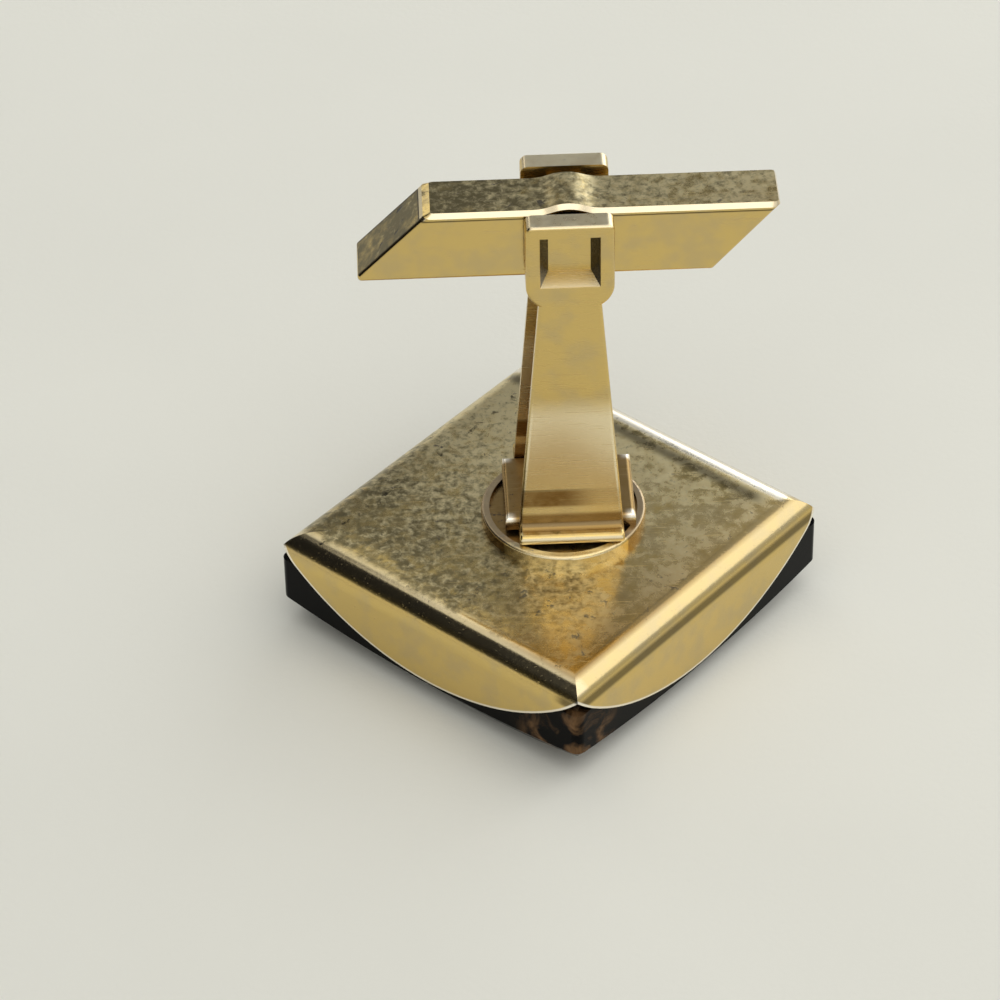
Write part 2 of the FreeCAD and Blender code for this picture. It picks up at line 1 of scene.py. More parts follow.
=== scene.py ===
"""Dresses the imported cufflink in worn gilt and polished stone, and sets it on paper in soft studio light."""
import math

import bpy
from bpy.props import FloatProperty, FloatVectorProperty, PointerProperty
from mathutils import Matrix, Vector


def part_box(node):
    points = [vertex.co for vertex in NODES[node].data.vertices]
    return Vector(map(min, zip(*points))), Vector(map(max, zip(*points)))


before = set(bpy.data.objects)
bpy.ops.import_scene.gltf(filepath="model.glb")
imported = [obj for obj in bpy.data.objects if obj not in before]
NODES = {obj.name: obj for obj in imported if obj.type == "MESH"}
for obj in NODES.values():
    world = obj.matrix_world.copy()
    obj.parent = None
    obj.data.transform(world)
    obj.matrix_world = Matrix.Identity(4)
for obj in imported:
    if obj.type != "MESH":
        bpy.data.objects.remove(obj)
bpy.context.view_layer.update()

bl_info = {
    "name": "Cufflink Dresser",
    "version": (1, 0, 0),
    "blender": (4, 5, 0),
    "location": "3D View > Sidebar > Cufflink",
    "description": "Finishes, floor, light and camera for a swivel-bar cufflink",
    "category": "Object",
}

# Lengths are in metres.
TRAY_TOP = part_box("setting_tray")[1].z
BLOCK_LOW, BLOCK_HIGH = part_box("leg_spacer")
BLOCK_HALF = (BLOCK_HIGH - BLOCK_LOW) / 2
PIVOT = (0.00094, 0.00067, 0.02223)

# The folded back, in axes that turn with it: X runs to the back right and Y to the back left.
SETTING_TURN = math.radians(47.8)
FOLD_LINE = 0.008
CREASE_DEPTH = 0.0009
# Where the painted shade lines lie: along the back left fold and along the back right fold.
LEFT_FOLD_SHADE = 0.0073
RIGHT_FOLD_SHADE = 0.0074
ARC_RADIUS = 0.01347
ARC_MIDDLE = 0.01457
PILLOW_POWER = 8.0
PILLOW_FALL = 9.0
FOLD_CLEANING = 0.7
# Strength of the painted sheen on the right front fold.
RIGHT_FOLD_SHEEN = 0.25

# Heights on the post, from the pivot.
BEND_TOP = -0.01335
CUP_RIM = -0.01618

# Tarnish.
TO_BACK_LEFT = (-0.5, 0.85, 0.0)
TO_BACK_RIGHT = (1.0, 0.7, 0.0)
RIM_SOFTNESS = 0.09
SPECK_HARDNESS = 14.0

# Two layers of scratches along X, as a turn and cells to the metre. The turn comes after the scale, so it
# only keeps the two patterns apart.
SCRATCH_LAYERS = (
    {"Rotation": (0.0, 0.5, 0.6), "Scale": (300.0, 9000.0, 9000.0)},
    {"Rotation": (0.0, -0.35, -0.9), "Scale": (450.0, 12000.0, 12000.0)},
)
CROWN_SCALE = (110.0, 110.0, 0.0)
SCRATCH_ROUGHNESS = 0.12
SCRATCH_DEPTH = 0.06
PIT_DEPTH = 0.5

# Middle of the stone's painted brown reflection, and cells to the metre of the spring's lines.
REFLECTION_CORNER = (0.0, -0.0125, 0.002)
SPRING_DRAWING = (200.0, 14000.0, 14000.0)
FLOOR_REACH = 3.0
FLOOR_DROP = -0.00002

# Parts of the room: direction, its cosine where the part begins, its cosine where it is full, and shade.
ROOM_PARTS = (
    ((-0.9, 0.1, 0.42), 0.7, 0.84, (0.008, 0.008, 0.009)),
    ((-0.26, 0.56, 0.79), 0.95, 0.99, (0.8, 0.8, 0.76)),
    ((0.0, -0.8, 0.6), 0.5, 0.9, (0.86, 0.86, 0.83)),
    ((0.2, 0.9, 0.4), 0.965, 0.985, (0.06, 0.065, 0.06)),
)
PANE_PARTS = (
    ((0.35, 0.93, 0.09), 0.95, 0.99, (1.4, 1.4, 1.38)),
    ((-0.43, 0.78, 0.45), 0.985, 0.995, (1.3, 1.3, 1.28)),
)
LEFT_WALL_STRENGTH = 0.55
RIGHT_WALL_STRENGTH = 1.7


def colour(name, description, default):
    """A colour property with no alpha."""
    return FloatVectorProperty(name=name, description=description, default=default, subtype="COLOR",
                               size=3, min=0.0, max=1.0)


def share(name, description, default):
    """A property from 0 to 1."""
    return FloatProperty(name=name, description=description, default=default, subtype="FACTOR",
                         min=0.0, max=1.0)


def length(name, description, default):
    """A length property in metres."""
    return FloatProperty(name=name, description=description, default=default, subtype="DISTANCE",
                         unit="LENGTH", precision=6)


def angle(name, description, degrees):
    """An angle property."""
    return FloatProperty(name=name, description=description, default=math.radians(degrees),
                         subtype="ANGLE", unit="ROTATION")


def power(name, description, watts):
    """Power of a light."""
    return FloatProperty(name=name, description=description, default=watts, subtype="POWER", unit="POWER")


class GiltFinish(bpy.types.PropertyGroup):
    """Colours and wear of the gilded metal."""
    gold: colour("Gold", "Clean gilding", (0.69, 0.505, 0.185))
    worn: colour("Worn gold", "Gilding that is rubbed thin", (0.61, 0.465, 0.21))
    tarnish: colour("Tarnish", "Olive-brown film on faces that look up", (0.19, 0.157, 0.08))
    pale_film: colour("Pale film", "Thin film among the tarnish", (0.78, 0.66, 0.38))
    # Dark specks, and painted shade in the pockets, creases, seams and along the back folds.
    grime_and_shade: colour("Grime and painted shade", "Dark specks and dirt in corners", (0.035, 0.028, 0.018))
    # Painted sheen: pale colour on the front folds, low on the legs and on the pockets' lower walls.
    painted_sheen: colour("Pale painted sheen", "Thin gilding on the front folds and low on the legs", (0.92, 0.80, 0.54))
    # Brown of the film at the front of the back, and of the painted shade in the bends above the feet.
    brown_and_bend_shade: colour("Brown Bend Shade", "Brown film in the bends and at the front of the back", (0.26, 0.15, 0.045))
    # Painted highlight: pale colour on flap edges, the right back fold, head tops, cup rim, block corners and
    # lid bevels.
    edge: colour("Painted edge highlight", "Pale metal where the gilding is rubbed off an edge", (0.97, 0.90, 0.76))
    back_cover: share("Tarnish on the back", "Share of the back that is tarnished", 0.8)
    bar_cover: share("Tarnish on the bar", "Share of the bar's top and end that is tarnished", 0.8)
    post_cover: share("Tarnish on the post", "Share of the post's tops that is tarnished", 0.75)
    polish: share("Polish", "Roughness of clean gilding", 0.16)
    satin: share("Satin", "Roughness of clean gilding on the post", 0.27)
    dulled: share("Dulled", "Roughness of tarnished gilding", 0.34)


class StoneFinish(bpy.types.PropertyGroup):
    """Colours of the stone, of its cement and of the spring."""
    body: colour("Stone", "Body of the stone", (0.0015, 0.0013, 0.0013))
    # Painted reflection: brown colour in the stone's front corner, where it mirrors the lit paper.
    flush: colour("Painted reflection", "Brown patch in the stone's front corner", (0.2, 0.11, 0.05))
    polish: share("Stone polish", "Roughness of the stone's polish", 0.07)
    cement: colour("Cement", "Bed under the stone", (0.3, 0.25, 0.18))
    steel: colour("Spring steel", "Leaf spring in the bar", (0.5, 0.5, 0.49))


class StageLook(bpy.types.PropertyGroup):
    """Paper, light and camera."""
    paper: colour("Paper", "Floor", (0.80, 0.79, 0.72))
    walls: colour("Walls", "Grey of the room round the set", (0.30, 0.31, 0.32))
    backdrop: colour("Backdrop", "Pale foot of the walls, behind the floor", (0.73, 0.72, 0.66))
    lens: FloatProperty(name="Lens", description="Focal length on a frame 36 mm wide", default=151.2,
                        unit="CAMERA")
    distance: length("Camera distance", "From the aim to the camera", 0.20365)
    azimuth: angle("Camera azimuth", "Turn of the camera about the post", -1.707)
    elevation: angle("Camera elevation", "Height of the camera above the floor", 39.343)
    roll: angle("Camera roll", "Tilt of the frame", -1.071)
    aim: FloatVectorProperty(name="Aim", description="Point that the camera looks at",
                             default=(-0.002407, 0.0, 0.006489), subtype="XYZ", unit="LENGTH")
    overhead: power("Overhead", "Large soft light above", 1.0)
    side: power("Side light", "Soft light at the right", 0.4)
    window: power("Window", "Low soft window behind, to the right", 0.42)


def add(tree, kind, inputs=None, **settings):
    """Add a node, set its attributes, and set or link its inputs, which go by name or by number."""
    node = tree.nodes.new(kind)
    for key, value in settings.items():
        setattr(node, key, value)
    for key, value in (inputs or {}).items():
        if isinstance(value, bpy.types.NodeSocket):
            tree.links.new(value, node.inputs[key])
        else:
            node.inputs[key].default_value = value
    return node


def calculate(tree, operation, *values):
    """Result of a Math node."""
    return add(tree, "ShaderNodeMath", dict(enumerate(values)), operation=operation).outputs[0]


def product(tree, first, *others):
    """Values multiplied together."""
    for other in others:
        first = calculate(tree, "MULTIPLY", first, other)
    return first


def greatest(tree, first, *others):
    """Greatest of some values."""
    for other in others:
        first = calculate(tree, "MAXIMUM", first, other)
    return first


def size_of(tree, value):
    """Value without its sign."""
    return calculate(tree, "ABSOLUTE", value)


def apart(tree, value, middle):
    """How far a value is from a middle one."""
    return size_of(tree, calculate(tree, "SUBTRACT", value, middle))


def stretch(tree, value, low, high, to_low=0.0, to_high=1.0):
    """Value spread smoothly from one range to another, and held at its ends."""
    inputs = {"Value": value, "From Min": low, "From Max": high, "To Min": to_low, "To Max": to_high}
    return add(tree, "ShaderNodeMapRange", inputs, interpolation_type="SMOOTHSTEP").outputs["Result"]


def rise(tree, value, none, full, amount=1.0):
    """Nothing up to the value none, a smooth rise, and the amount from the value full on."""
    return stretch(tree, value, none, full, 0.0, amount)


def fade(tree, value, full, gone, amount=1.0):
    """The amount up to the value full, a smooth fall, and nothing from the value gone on."""
    return stretch(tree, value, full, gone, amount, 0.0)


def blend_colours(tree, amount, first, second):
    """First colour where amount is 0, second where it is 1."""
    node = add(tree, "ShaderNodeMix", data_type="RGBA")
    for socket, value in (("Factor_Float", amount), ("A_Color", first), ("B_Color", second)):
        target = next(entry for entry in node.inputs if entry.identifier == socket)
        if isinstance(value, bpy.types.NodeSocket):
            tree.links.new(value, target)
        else:
            target.default_value = value if socket == "Factor_Float" else (*value, 1.0)
    return next(entry for entry in node.outputs if entry.identifier == "Result_Color")


def scaled(strength, shade):
    """A colour made darker or lighter by a factor."""
    return tuple(strength * part for part in shade)


def dot(tree, first, second):
    """Dot product of two vectors."""
    return add(tree, "ShaderNodeVectorMath", {0: first, 1: second}, operation="DOT_PRODUCT").outputs["Value"]


def split(tree, vector):
    """X, Y and Z of a vector."""
    return add(tree, "ShaderNodeSeparateXYZ", {"Vector": vector}).outputs


def object_place(tree):
    """Place on the piece."""
    return add(tree, "ShaderNodeTexCoord").outputs["Object"]


def place_and_facing(tree):
    """Place on the piece, and X, Y and Z of the surface's normal."""
    coordinates = add(tree, "ShaderNodeTexCoord").outputs
    return coordinates["Object"], split(tree, coordinates["Normal"])


def from_pivot(tree, place):
    """X, Y and Z of a place, counted from the bar's pivot."""
    away = add(tree, "ShaderNodeVectorMath", {0: place, 1: PIVOT}, operation="SUBTRACT")
    return split(tree, away.outputs["Vector"])


def noise(tree, place, scale, detail=4.0, roughness=0.55, distortion=0.0):
    """Strength of a noise texture of a scale in cells to the metre."""
    inputs = {"Vector": place, "Scale": scale, "Detail": detail, "Roughness": roughness,
              "Distortion": distortion}
    return add(tree, "ShaderNodeTexNoise", inputs, normalize=True).outputs["Fac"]


def add_bump(tree, shader, height, strength, distance):
    """Bend the shader's normal by a height."""
    bump = add(tree, "ShaderNodeBump", {"Strength": strength, "Distance": distance, "Height": height})
    tree.links.new(bump.outputs["Normal"], shader.inputs["Normal"])


def new_group(name, inputs, outputs):
    """An empty shader group with named sockets, and its input and output nodes."""
    group = bpy.data.node_groups.new(name, "ShaderNodeTree")
    for label, default in inputs:
        socket = group.interface.new_socket(label, in_out="INPUT", socket_type="NodeSocketFloat")
        socket.default_value = default
    for label in outputs:
        group.interface.new_socket(label, in_out="OUTPUT", socket_type="NodeSocketFloat")
    return group, group.nodes.new("NodeGroupInput").outputs, group.nodes.new("NodeGroupOutput").inputs


def group_named(name, maker):
    """A shader group that is built at its first use."""
    return bpy.data.node_groups.get(name) or maker(name)


def use_group(tree, name, maker, **values):
    """Place a shared group in a material, with its own values."""
    inputs = {key.replace("_", " ").title(): value for key, value in values.items()}
    return add(tree, "ShaderNodeGroup", inputs, node_tree=group_named(name, maker)).outputs


def upper_side(group, height, leaning, rim):
    """Faces whose normal rises past the rim value, which is lower at the back left, over the fold there."""
    lowered = rise(group, leaning, none=0.005, full=0.0075, amount=0.6)
    start = calculate(group, "SUBTRACT", rim, lowered)
    return stretch(group, height, low=start, high=calculate(group, "ADD", start, RIM_SOFTNESS))


def cloudy_film(group, place, clouds, cover):
    """Sum of clouds, finer crumbs and the cover, cut to a film."""
    crumbs = noise(group, place, scale=1700.0, detail=3.0, roughness=0.6, distortion=0.4)
    mixed = calculate(group, "ADD", clouds, crumbs)
    return stretch(group, calculate(group, "ADD", mixed, cover), low=1.1, high=1.7)


def ragged_specks(group, place, clouds):
    """Flecks that are cut hard where they pass a limit, which is lower among thick clouds."""
    flecks = noise(group, place, scale=1500.0, detail=4.0, roughness=0.7, distortion=0.5)
    limit = stretch(group, clouds, low=0.35, high=0.62, to_low=0.72, to_high=0.585)
    past = product(group, calculate(group, "SUBTRACT", flecks, limit), SPECK_HARDNESS)
    return calculate(group, "MINIMUM", greatest(group, past, 0.0), 1.0)


def pale_mottle(group, place, paleness):
    """Fine grains between dark and pale film, paler towards the back right."""
    grains = noise(group, place, scale=2400.0, detail=5.0, roughness=0.7, distortion=0.25)
    rightward = dot(group, place, TO_BACK_RIGHT)
    lighter = stretch(group, rightward, low=-0.012, high=0.009, to_low=-0.1, to_high=0.17)
    shifted = calculate(group, "ADD", grains, calculate(group, "ADD", lighter, paleness))
    return stretch(group, shifted, low=0.34, high=0.66)


def make_tarnish_group(name):
    """Tarnish and ragged specks on faces that look up, thickest at the back left, and warmth at the front."""
    given_values = [("Cover", 0.5), ("Facing Up", 0.5), ("Rim", 0.9), ("Paleness", 0.0)]
    group, given, result = new_group(name, given_values, ["Tarnish", "Specks", "Mottle", "Warmth"])
    place, facing = place_and_facing(group)
    leaning = dot(group, place, TO_BACK_LEFT)
    topside = upper_side(group, facing["Z"], leaning, given["Rim"])
    thickness = stretch(group, leaning, low=-0.009, high=0.005, to_low=0.75, to_high=1.0)
    upper = product(group, topside, thickness)
    clouds = noise(group, place, scale=300.0, detail=5.0, roughness=0.6, distortion=0.5)
    cover = calculate(group, "MULTIPLY_ADD", upper, given["Facing Up"], given["Cover"])
    group.links.new(cloudy_film(group, place, clouds, cover), result["Tarnish"])
    group.links.new(product(group, ragged_specks(group, place, clouds), upper), result["Specks"])
    group.links.new(pale_mottle(group, place, given["Paleness"]), result["Mottle"])
    warmth = fade(group, leaning, full=-0.010, gone=-0.002, amount=0.72)
    group.links.new(product(group, warmth, topside), result["Warmth"])
    return group


def plate_shade_lines(group, place, across, below):
    """Painted shade on the plate along its back folds: a ragged dark line at the left, a soft straight one at
    the right.
    """
    wobble = noise(group, place, scale=1100.0, detail=5.0, roughness=0.75, distortion=0.4)
    width = stretch(group, wobble, low=0.42, high=0.72, to_low=-0.0003, to_high=0.0005)
    ragged = calculate(group, "SUBTRACT", apart(group, across["Y"], LEFT_FOLD_SHADE), width)
    left_line = fade(group, ragged, full=-0.0002, gone=0.0001, amount=0.85)
    straight = fade(group, apart(group, across["X"], RIGHT_FOLD_SHADE), full=0.00005, gone=0.0006, amount=0.7)
    right_line = product(group, straight, rise(group, across["Y"], none=-0.0078, full=-0.0066))
    level = fade(group, below, full=0.0001, gone=0.0003)
    return product(group, greatest(group, left_line, right_line), level)


def crease_shade(group, across, below, front):
    """Painted shade where folds meet flaps: a thin dark line, wider at the right front and missing at the left
    front.
    """
    beside = apart(group, below, CREASE_DEPTH)
    off_left = rise(group, across["X"], none=-0.0086, full=-0.0082)
    thin = product(group, fade(group, beside, full=0.00003, gone=0.00009, amount=0.7), off_left)
    wide = product(group, fade(group, beside, full=0.00008, gone=0.00028, amount=0.7), front)
    return greatest(group, thin, wide)


def plate_fall(group, sides):
    """The plate's slight fall: a high power of the distance from its middle planes, held from the fold on."""
    near_rim = calculate(group, "DIVIDE", greatest(group, *sides), FOLD_LINE)
    pillow = calculate(group, "POWER", calculate(group, "MINIMUM", near_rim, 1.0), PILLOW_POWER)
    return product(group, pillow, -PILLOW_FALL)


def edge_highlights(group, across, sides, below):
    """Painted highlight: pale colour on the edges of the flaps and on the right back fold.

    A flap's edge is an arc about a point above its middle, and the lesser of the two distances from the
    middle planes runs along the flap.
    """
    along = calculate(group, "MINIMUM", *sides)
    above = calculate(group, "SUBTRACT", across["Z"], ARC_MIDDLE)
    squares = calculate(group, "MULTIPLY_ADD", along, along, product(group, above, above))
    radius = calculate(group, "SQRT", squares)
    arcs = rise(group, radius, none=ARC_RADIUS - 0.00014, full=ARC_RADIUS - 0.00007)
    outer = rise(group, across["X"], none=FOLD_LINE - 0.0002, full=FOLD_LINE + 0.0001)
    off_front = rise(group, across["Y"], none=-0.0083, full=-0.0078)
    upper = fade(group, below, full=0.0006, gone=0.0012)
    return greatest(group, arcs, product(group, outer, off_front, upper))


def make_fold_group(name):
    """Marks of the folded back: painted shade along its back folds and creases, painted highlights on its
    edges and right back fold, painted sheen and thinner tarnish on its front folds, and the plate's fall to
    its rim.
    """
    marks = ["Dirt", "Edge", "Painted Sheen", "Film", "Paleness", "Height"]
    group, given, result = new_group(name, [("Turn", 0.8)], marks)
    place = object_place(group)
    turned = add(group, "ShaderNodeVectorRotate", {"Vector": place, "Angle": given["Turn"]},
                 rotation_type="Z_AXIS", invert=True)
    across = split(group, turned.outputs["Vector"])
    below = calculate(group, "SUBTRACT", TRAY_TOP, across["Z"])
    sides = [size_of(group, across[axis]) for axis in "XY"]
    front = fade(group, across["Y"], full=-0.0085, gone=-0.0077)
    left = fade(group, across["X"], full=-0.0085, gone=-0.0078, amount=0.6)
    lines = plate_shade_lines(group, place, across, below)
    group.links.new(greatest(group, lines, crease_shade(group, across, below, front)), result["Dirt"])
    group.links.new(edge_highlights(group, across, sides, below), result["Edge"])
    # Painted sheen on the front folds, where they mirror the lights.
    paler = greatest(group, product(group, front, RIGHT_FOLD_SHEEN), left)
    group.links.new(product(group, paler, fade(group, below, full=0.0004, gone=0.0006)), result["Painted Sheen"])
    cleaner = greatest(group, front, left)
    group.links.new(calculate(group, "MULTIPLY_ADD", cleaner, -FOLD_CLEANING, 1.0), result["Film"])
    group.links.new(fade(group, across["Y"], full=-0.0081, gone=-0.004, amount=0.16), result["Paleness"])
    group.links.new(plate_fall(group, sides), result["Height"])
    return group


def block_corner_highlights(group, offset):
    """Painted highlights on the upper corners of the block between the feet."""
    top = BLOCK_HIGH.z - PIVOT[2]
    ends = rise(group, size_of(group, offset["X"]), none=BLOCK_HALF.x - 0.0006, full=BLOCK_HALF.x - 0.0002)
    sides = rise(group, size_of(group, offset["Y"]), none=BLOCK_HALF.y - 0.0006, full=BLOCK_HALF.y - 0.0002)
    upper = rise(group, offset["Z"], none=top - 0.0004, full=top - 0.0002)
    lower_post = fade(group, offset["Z"], full=-0.012, gone=-0.011)
    return product(group, ends, sides, upper, lower_post)


def bend_shade(group, place, offset):
    """Painted shade above the feet: a dark line, a brown patch strongest at the left, and the bend below it
    painted brown.
    """
    above = calculate(group, "SUBTRACT", offset["Z"], BEND_TOP)
    leftward = stretch(group, offset["X"], low=-0.0008, high=0.0016, to_low=1.0, to_high=0.25)
    inside = fade(group, size_of(group, offset["Y"]), full=0.0033, gone=0.0034)
    line = fade(group, size_of(group, above), full=0.00002, gone=0.00008, amount=0.5)
    patch_noise = noise(group, place, scale=500.0, detail=4.0, distortion=0.4)
    patchy = stretch(group, patch_noise, low=0.3, high=0.6, to_low=0.6, to_high=0.95)
    upper_end = fade(group, above, full=-0.0001, gone=0.0)
    lower_end = rise(group, above, none=-0.0011, full=-0.0009)
    patch = product(group, patchy, leftward, upper_end, lower_end)
    bend = fade(group, above, full=-0.0016, gone=-0.0013, amount=0.85)
    return product(group, line, leftward, inside), product(group, greatest(group, patch, bend), inside)


def make_corner_group(name):
    """Marks of the post: painted shade on the pocket side walls and in the bends, and painted highlights and
    sheen on the pocket lower walls, heads, legs, block corners and rim.
    """
    group, given, result = new_group(name, [("Strength", 1.0)], ["Dirt", "Brown Bend Shade", "Edge", "Painted Sheen"])
    place, facing = place_and_facing(group)
    offset = from_pivot(group, place)
    near = [fade(group, size_of(group, offset[axis]), full=0.00136, gone=0.00142) for axis in "XZ"]
    pocket = product(group, *near)
    raised = rise(group, facing["Z"], none=0.5, full=0.7)
    # Painted highlight on the head tops and on the cup's rim.
    head = rise(group, offset["Z"], none=0.0018, full=0.0019, amount=0.4)
    rim = fade(group, apart(group, offset["Z"], CUP_RIM), full=0.00005, gone=0.0001, amount=0.2)
    pale = product(group, greatest(group, head, rim), raised)
    group.links.new(greatest(group, pale, block_corner_highlights(group, offset)), result["Edge"])
    # Painted sheen low on the legs and on the pockets' lower walls.
    upright = rise(group, size_of(group, facing["Y"]), none=0.6, full=0.9)
    lower_leg = product(group, fade(group, offset["Z"], full=-0.0092, gone=-0.0076), upright)
    group.links.new(greatest(group, lower_leg, product(group, pocket, raised)), result["Painted Sheen"])
    line, brown_and_bend_shade = bend_shade(group, place, offset)
    # Painted shade on the pocket side walls, and the painted dark line above the feet.
    side_wall = product(group, pocket, rise(group, size_of(group, facing["X"]), none=0.4, full=0.6))
    group.links.new(product(group, greatest(group, side_wall, line), given["Strength"]), result["Dirt"])
    group.links.new(product(group, brown_and_bend_shade, given["Strength"]), result["Brown Bend Shade"])
    return group


def make_seam_group(name):
    """Painted shade on the bar: a shadow line under its lid, and dark borders round its slanted end that looks
    up.
    """
    group, given, result = new_group(name, [("Strength", 0.85)], ["Dirt"])
    place, facing = place_and_facing(group)
    offset = from_pivot(group, place)
    # Painted shadow line under the lid.
    seam = rise(group, offset["Z"], none=0.00138, full=0.00146)
    border = rise(group, size_of(group, offset["Y"]), none=0.0011, full=0.0013)
    foot = fade(group, offset["Z"], full=-0.0016, gone=-0.0014)
    raised = rise(group, facing["Z"], none=0.4, full=0.6)
    outline = product(group, greatest(group, border, foot), raised)
    group.links.new(product(group, greatest(group, seam, outline), given["Strength"]), result["Dirt"])
    return group


def make_bevel_group(name):
    """Painted highlight on the bevels of the lid, which lean at about 45 degrees."""
    group, given, result = new_group(name, [("Strength", 0.5)], ["Edge"])
    height = place_and_facing(group)[1]["Z"]
    leans = rise(group, height, none=0.3, full=0.45)
    below_top = fade(group, height, full=0.8, gone=0.88)
    group.links.new(product(group, leans, below_top, given["Strength"]), result["Edge"])
    return group


def make_scratch_group(name):
    """Fine scratches along X: two layers of drawn-out noise, cut to thin ridges."""
    group, given, result = new_group(name, [("Fineness", 1.0)], ["Scratches"])
    place = object_place(group)
    ridges = []
    for layer in SCRATCH_LAYERS:
        drawn = add(group, "ShaderNodeMapping", {"Vector": place, **layer}).outputs["Vector"]
        lines = noise(group, drawn, scale=given["Fineness"], detail=2.0)
        ridges.append(rise(group, lines, none=0.64, full=0.74))
    group.links.new(greatest(group, *ridges), result["Scratches"])
    return group


def make_waviness_group(name):
    """Slow hills of hand-worked sheet, a fine orange-peel, and a crown that falls as the radius squared."""
    group, given, result = new_group(name, [("Hills", 1.0), ("Peel", 1.0), ("Crown", 0.0)], ["Height"])
    place = object_place(group)
    hills = noise(group, place, scale=260.0, detail=1.0)
    peel = noise(group, place, scale=2200.0, detail=3.0)
    level = add(group, "ShaderNodeVectorMath", {0: place, 1: CROWN_SCALE}, operation="MULTIPLY")
    from_middle = level.outputs["Vector"]
    fall = product(group, dot(group, from_middle, from_middle), given["Crown"])
    high = calculate(group, "SUBTRACT", product(group, hills, given["Hills"]), fall)
    group.links.new(calculate(group, "MULTIPLY_ADD", peel, given["Peel"], high), result["Height"])
    return group


def fold_marks(tree):
    """Painted shade and painted highlights of the folded back."""
    return use_group(tree, "Fold Marks", make_fold_group, turn=SETTING_TURN)


def bar_marks(tree):
    """Painted shade in the seam and round the slanted end of the bar."""
    return use_group(tree, "Seam Dirt", make_seam_group)


def lid_marks(tree):
    """Painted highlights on the bevels of the lid."""
    return use_group(tree, "Lid Bevel Highlights", make_bevel_group)


def post_marks(tree):
    """Painted shade, highlights and sheen of the post."""
    return use_group(tree, "Corner Dirt", make_corner_group)


def new_material(name):
    """A material with only a Principled shader, its node tree and the shader."""
    material = bpy.data.materials.new(name)
    material.use_nodes = True
    tree = material.node_tree
    return material, tree, tree.nodes["Principled BSDF"]


def gilt_colour(tree, finish, marks, own, scratches):
    """Colour of the gilding in layers: gold, wear, painted sheen, tarnish, warmth, painted bend shade, specks
    and painted shade, scratches and painted highlights.
    """
    rubbed = rise(tree, noise(tree, object_place(tree), scale=700.0, detail=3.0), none=0.4, full=0.7)
    gilded = blend_colours(tree, rubbed, finish.gold, finish.worn)
    # Painted sheen.
    clean = blend_colours(tree, own.get("Painted Sheen", 0.0), gilded, finish.painted_sheen)
    tarnish = blend_colours(tree, marks["Mottle"], finish.tarnish, finish.pale_film)
    filmed = blend_colours(tree, marks["Tarnish"], clean, tarnish)
    warm = blend_colours(tree, marks["Warmth"], filmed, finish.brown_and_bend_shade)
    # Painted shade in the bends above the feet.
    bend_shaded = blend_colours(tree, own.get("Brown Bend Shade", 0.0), warm, finish.brown_and_bend_shade)
    # Dark specks, and painted shade in pockets, creases, seams and along folds.
    specks_and_shade = greatest(tree, marks["Specks"], own.get("Dirt", 0.0))
    specked_and_shaded = blend_colours(tree, specks_and_shade, bend_shaded, finish.grime_and_shade)
    bare = product(tree, scratches, fade(tree, specks_and_shade, full=0.0, gone=0.5, amount=0.35))
    lined = blend_colours(tree, bare, specked_and_shaded, finish.worn)
    # Painted highlights on edges, corners and folds.
    return blend_colours(tree, own.get("Edge", 0.0), lined, finish.edge)


def gilt_material(name, finish, film, relief, marks_of):
    """Gilding over brass: gold rubbed thin, tarnished in clouds, specked and finely scratched."""
    material, tree, shader = new_material(name)
    own = marks_of(tree)
    thinned = product(tree, own.get("Film", 1.0), film["facing_up"])
    paleness = calculate(tree, "ADD", own.get("Paleness", 0.0), film["paleness"])
    marks = use_group(tree, "Tarnish Clouds", make_tarnish_group, cover=film["cover"], facing_up=thinned,
                      rim=film["rim"], paleness=paleness)
    scratches = use_group(tree, "Fine Scratches", make_scratch_group)["Scratches"]
    waves = use_group(tree, "Hand-Worked Sheet", make_waviness_group, **relief)["Height"]
    tree.links.new(gilt_colour(tree, finish, marks, own, scratches), shader.inputs["Base Color"])
    dulled = stretch(tree, marks["Tarnish"], low=0.0, high=1.0, to_low=film["polish"], to_high=finish.dulled)
    rough = calculate(tree, "MULTIPLY_ADD", scratches, SCRATCH_ROUGHNESS, dulled)
    tree.links.new(rough, shader.inputs["Roughness"])
    metal = stretch(tree, marks["Specks"], low=0.0, high=1.0, to_low=1.0, to_high=0.2)
    tree.links.new(metal, shader.inputs["Metallic"])
    scored = calculate(tree, "MULTIPLY_ADD", scratches, -SCRATCH_DEPTH, waves)
    pitted = calculate(tree, "MULTIPLY_ADD", marks["Specks"], -PIT_DEPTH, scored)
    shaped = calculate(tree, "ADD", pitted, own.get("Height", 0.0))
    add_bump(tree, shader, shaped, strength=0.25, distance=0.00006)
    return material


def stone_material(name, finish):
    """Near-black polished stone with a painted brown reflection in its front corner."""
    material, tree, shader = new_material(name)
    place = object_place(tree)
    corner = add(tree, "ShaderNodeVectorMath", {0: place, 1: REFLECTION_CORNER}, operation="DISTANCE")
    near = fade(tree, corner.outputs["Value"], full=0.001, gone=0.0035)
    clouds = rise(tree, noise(tree, place, scale=700.0, detail=5.0, distortion=0.8), none=0.4, full=0.7)
    patches = product(tree, near, clouds)
    tree.links.new(blend_colours(tree, patches, finish.body, finish.flush), shader.inputs["Base Color"])
    smears = noise(tree, place, scale=900.0, detail=4.0)
    rough = stretch(tree, smears, low=0.3, high=0.8, to_low=finish.polish, to_high=2.2 * finish.polish)
    tree.links.new(rough, shader.inputs["Roughness"])
    shader.inputs["Specular IOR Level"].default_value = 0.06
    add_bump(tree, shader, smears, strength=0.08, distance=0.00004)
    return material


